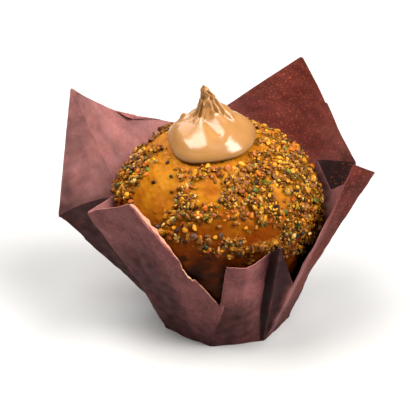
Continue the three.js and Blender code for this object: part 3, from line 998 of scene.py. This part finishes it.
def nut_material(name, colours):
    """Chopped nut, roasted: waxy cut faces with a soft gloss, each bit its own tone, with painted shade
    on bits low on the side, and a fine mottle where skin and crumb cling to it."""
    material, tree, shader, place = new_material(
        name, Roughness=0.42, IOR=1.46, Specular_IOR_Level=0.2, Subsurface_Weight=0.12,
        Subsurface_Scale=0.5 * MM)
    tone = add(tree, "Attribute", {"attribute_name": "tone"}).outputs["Fac"]
    base = add(tree, "ValToRGB", {"stops": stops(colours)}, {"Fac": tone})
    mottle = add(tree, "TexNoise", {"Scale": per_mm(0.8), "Detail": 3.0}, {"Vector": place})
    shade = add(tree, "ValToRGB", {"stops": [(0.35, "#B0A090"), (0.62, "#FFFFFF")]}, {"Fac": mottle})
    mixed = add(tree, "Mix", MULTIPLY | {0: 0.8}, {6: base, 7: shade})
    bump = add(tree, "Bump", {"Distance": 0.08 * MM}, {"Height": mottle})
    connect(tree, shader, {"Base Color": mixed.outputs[2], "Normal": bump})
    return material


def crust_material():
    """Sweet dough baked golden under a syrup glaze: wet shine on the bare patches, a deeper brown low
    on the side that is partly painted shade, dark burnt spots, and an ochre crumb layer where the nuts
    stick."""
    material, tree, shader, place = new_material(
        "glazed_baked_crust", IOR=1.4, Specular_IOR_Level=0.04, Subsurface_Weight=0.1,
        Subsurface_Scale=1 * MM, Subsurface_Radius=(1.0, 0.45, 0.12))
    baked, cover, burnt = [
        add(tree, "Attribute", {"attribute_name": name}).outputs["Fac"]
        for name in ("baked", "cover", "burnt")]
    # Golden at the top to near black at the foot: browning with painted shade low in the case
    browner_and_shaded = [(0, "#8E5A0C"), (0.3, "#80480A"), (0.5, "#6A3604"), (0.68, "#6A2E02"), (1, "#1E0B03")]
    glaze = add(tree, "ValToRGB", {"stops": browner_and_shaded}, {"Fac": baked})
    cloud = add(tree, "TexNoise", {"Scale": per_mm(4), "Detail": 5.0}, {"Vector": place})
    browning = add(tree, "ValToRGB", {"stops": [(0.32, "#C08848"), (0.64, "#FFFFFF")]}, {"Fac": cloud})
    skin = add(tree, "Mix", MULTIPLY | {0: 0.6}, {6: glaze, 7: browning})
    grain = add(tree, "TexNoise", {"Scale": per_mm(0.9), "Detail": 4.0}, {"Vector": place})
    ochres = [(0.3, "#2C1606"), (0.45, "#542E06"), (0.6, "#70460C"), (0.72, "#463810")]
    crumb = add(tree, "ValToRGB", {"stops": ochres}, {"Fac": grain})
    stuck = add(tree, "MapRange", {"From Min": 0.25, "From Max": 0.7}, {"Value": cover})
    coated = add(tree, "Mix", BLEND, {0: stuck, 6: skin.outputs[2], 7: crumb})
    charred = add(tree, "Mix", BLEND | {7: hex_colour("#2A1408")}, {0: burnt, 6: coated.outputs[2]})
    rough = add(tree, "MapRange", {"To Min": 0.42, "To Max": 0.75}, {"Value": stuck})
    bump = add(tree, "Bump", {"Distance": 0.15 * MM, "Strength": 0.6}, {"Height": grain})
    connect(tree, shader, {"Base Color": charred.outputs[2], "Roughness": rough, "Normal": bump})
    return material


def cream_material():
    """Whipped caramel cream: smooth and wet, so it takes sharp highlights, and light sinks in a
    little, which softens its shaded side."""
    material, tree, shader, place = new_material(
        "whipped_caramel_cream", Roughness=0.21, IOR=1.45, Subsurface_Weight=0.3,
        Subsurface_Scale=1.5 * MM, Subsurface_Radius=(1.0, 0.6, 0.3))
    cloud = add(tree, "TexNoise", {"Scale": per_mm(9), "Detail": 2.0}, {"Vector": place})
    base = add(tree, "ValToRGB", {"stops": [(0.3, "#80592F"), (0.7, "#8A6338")]}, {"Fac": cloud})
    ripple = add(tree, "TexNoise", {"Scale": per_mm(2.5), "Detail": 2.0}, {"Vector": place})
    bump = add(tree, "Bump", {"Distance": 0.12 * MM, "Strength": 0.5}, {"Height": ripple})
    connect(tree, shader, {"Base Color": base, "Normal": bump})
    return material


def paper_material():
    """Dyed greaseproof paper, calendered: dark red-brown and nearly matt with a cloudy fibre mottle,
    painted shade in its folds and near its foot with grease blotches, so thin that light behind it
    passes through, also painted as a darker, redder shade with glowing red flecks, pale at a torn edge,
    and a painted highlight on the bent hem."""
    material, tree, shader, place = new_material(
        "dyed_greaseproof_paper", Roughness=0.62, IOR=1.5, Specular_IOR_Level=0.08,
        Subsurface_Weight=0.45, Subsurface_Scale=0.35 * MM, Subsurface_Radius=(1.0, 0.25, 0.18))
    inner, torn, backlit, greasy = [
        add(tree, "Attribute", {"attribute_name": name}).outputs["Fac"]
        for name in ("inner", "torn", "backlit", "greasy")]
    cloud = add(tree, "TexNoise", {"Scale": per_mm(9), "Detail": 5.0, "Roughness": 0.62},
                {"Vector": place})
    reds = [(0.3, "#623B3B"), (0.5, "#7A4A49"), (0.72, "#8A5452")]
    dye = add(tree, "ValToRGB", {"stops": reds}, {"Fac": cloud})
    fibre = add(tree, "TexNoise", {"Scale": per_mm(1.1), "Detail": 4.0, "Roughness": 0.7},
                {"Vector": place})
    speck = add(tree, "ValToRGB", {"stops": [(0.35, "#C8BEBE"), (0.65, "#FFFFFF")]}, {"Fac": fibre})
    mottled = add(tree, "Mix", MULTIPLY | {0: 0.85}, {6: dye, 7: speck})
    bleach = add(tree, "MapRange", {"To Max": 0.22}, {"Value": inner})
    paler = add(tree, "Mix", BLEND | {7: hex_colour("#AC807A")}, {0: bleach, 6: mottled.outputs[2]})
    # Painted shade in the folds and near the foot, and grease blotches, as a near-black red
    shaded_and_soaked = add(tree, "Mix", BLEND | {7: hex_colour("#180706")}, {0: greasy, 6: paler.outputs[2]})
    # Painted light through the paper: the backlit columns are shaded darker and redder, with glowing
    # red flecks
    painted_backlit_shade = add(tree, "Mix", MULTIPLY | {7: hex_colour("#A47264")}, {0: backlit, 6: shaded_and_soaked.outputs[2]})
    speckle = add(tree, "TexNoise", {"Scale": per_mm(0.7), "Detail": 3.0}, {"Vector": place})
    fleck = add(tree, "MapRange", {"From Min": 0.56, "From Max": 0.78, "To Max": 0.85},
                {"Value": speckle})
    lit_fleck = add(tree, "Math", {"operation": "MULTIPLY"}, {0: fleck, 1: backlit})
    glowing = add(tree, "Mix", BLEND | {7: hex_colour("#A04A2C")}, {0: lit_fleck, 6: painted_backlit_shade.outputs[2]})
    # Pale torn fibres at the tear, and a painted highlight along the bent-in hem
    ragged = add(tree, "Mix", BLEND | {7: hex_colour("#E8B088")}, {0: torn, 6: glowing.outputs[2]})
    bump = add(tree, "Bump", {"Distance": 0.05 * MM, "Strength": 0.5}, {"Height": fibre})
    connect(tree, shader, {"Base Color": ragged.outputs[2], "Normal": bump})
    return material


def floor_material():
    """Matt grey laminate, which the studio light takes nearly to white."""
    material, tree, shader, place = new_material("matt_laminate", Roughness=0.8)
    cloud = add(tree, "TexNoise", {"Scale": per_mm(300)}, {"Vector": place})
    base = add(tree, "ValToRGB", {"stops": stops(["#989898", "#9C9C9C"])}, {"Fac": cloud})
    connect(tree, shader, {"Base Color": base})
    return material


# Camera, floor and light

def make_camera():
    """A long lens, level across and looking 28 degrees down."""
    elevation = math.radians(28)
    distance = 650
    aim = np.array([-5.45, 0, 43.6])
    pixels_per_mm = 2.75
    frame_pixels = 420
    camera = bpy.data.cameras.new("camera")
    camera.sensor_width = 36
    camera.lens = pixels_per_mm * distance * camera.sensor_width / frame_pixels
    camera.clip_start = 0.01
    camera.clip_end = 20
    holder = bpy.data.objects.new("camera", camera)
    place = aim + distance * np.array([0, -math.cos(elevation), math.sin(elevation)])
    holder.location = (place * MM).tolist()
    holder.rotation_euler = (math.pi / 2 - elevation, 0, 0)
    bpy.context.scene.collection.objects.link(holder)
    bpy.context.scene.camera = holder


# Softboxes: direction from the muffin, distance, width and height in millimetres, watts, colour
LAMPS = {
    "key": ((0.6, -0.29, 0.75), 1100, 600, 900, 36, "#FFFCF8"),
    "top": ((-0.4, -0.03, 0.92), 1100, 800, 800, 29, "#FFFCF8"),
    "back": ((-0.3, 0.8, 0.52), 1300, 900, 900, 8, "#FCFCFF"),
}


def make_lamps():
    """Softboxes turned towards the middle of the muffin."""
    middle = np.array([0, 0, 50])
    for name, (direction, distance, width, height, power, colour) in LAMPS.items():
        lamp = bpy.data.lights.new(name, "AREA")
        lamp.shape = "RECTANGLE"
        lamp.size = width * MM
        lamp.size_y = height * MM
        lamp.energy = power
        lamp.color = hex_colour(colour)[:3]
        holder = bpy.data.objects.new(name, lamp)
        holder.location = ((middle + distance * unit(np.array(direction))) * MM).tolist()
        holder.rotation_euler = Vector(direction).to_track_quat("Z", "Y").to_euler()
        bpy.context.scene.collection.objects.link(holder)


def make_floor():
    """A flat floor just under the case."""
    half = 3000
    level = -0.1
    corners = [(-half, -half, level), (half, -half, level), (half, half, level), (-half, half, level)]
    floor = mesh_object("floor", corners, [(0, 1, 2, 3)])
    floor.data.materials.append(floor_material())


def make_world():
    """A faint even white light from all round, and colours shown without a film curve."""
    world = bpy.data.worlds.new("studio")
    bpy.context.scene.world = world
    world.use_nodes = True
    background = world.node_tree.nodes["Background"]
    background.inputs["Color"].default_value = (1, 1, 1, 1)
    background.inputs["Strength"].default_value = 0.1
    bpy.context.scene.view_settings.view_transform = "Standard"


def dress(piece, material, node):
    """Gives a piece its material and puts it in the place of a solid."""
    piece.data.materials.append(material)
    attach(piece, "root")
    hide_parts(node)


def main():
    """Makes the studio and the dressed muffin."""
    make_camera()
    make_world()
    make_floor()
    make_lamps()
    dress(make_crust(), crust_material(), "muffin")
    dress(make_cream(), cream_material(), "cream")
    dress(make_paper(), paper_material(), "paper_case")
    make_nuts(bare_sheet(1.6, 30))


main()
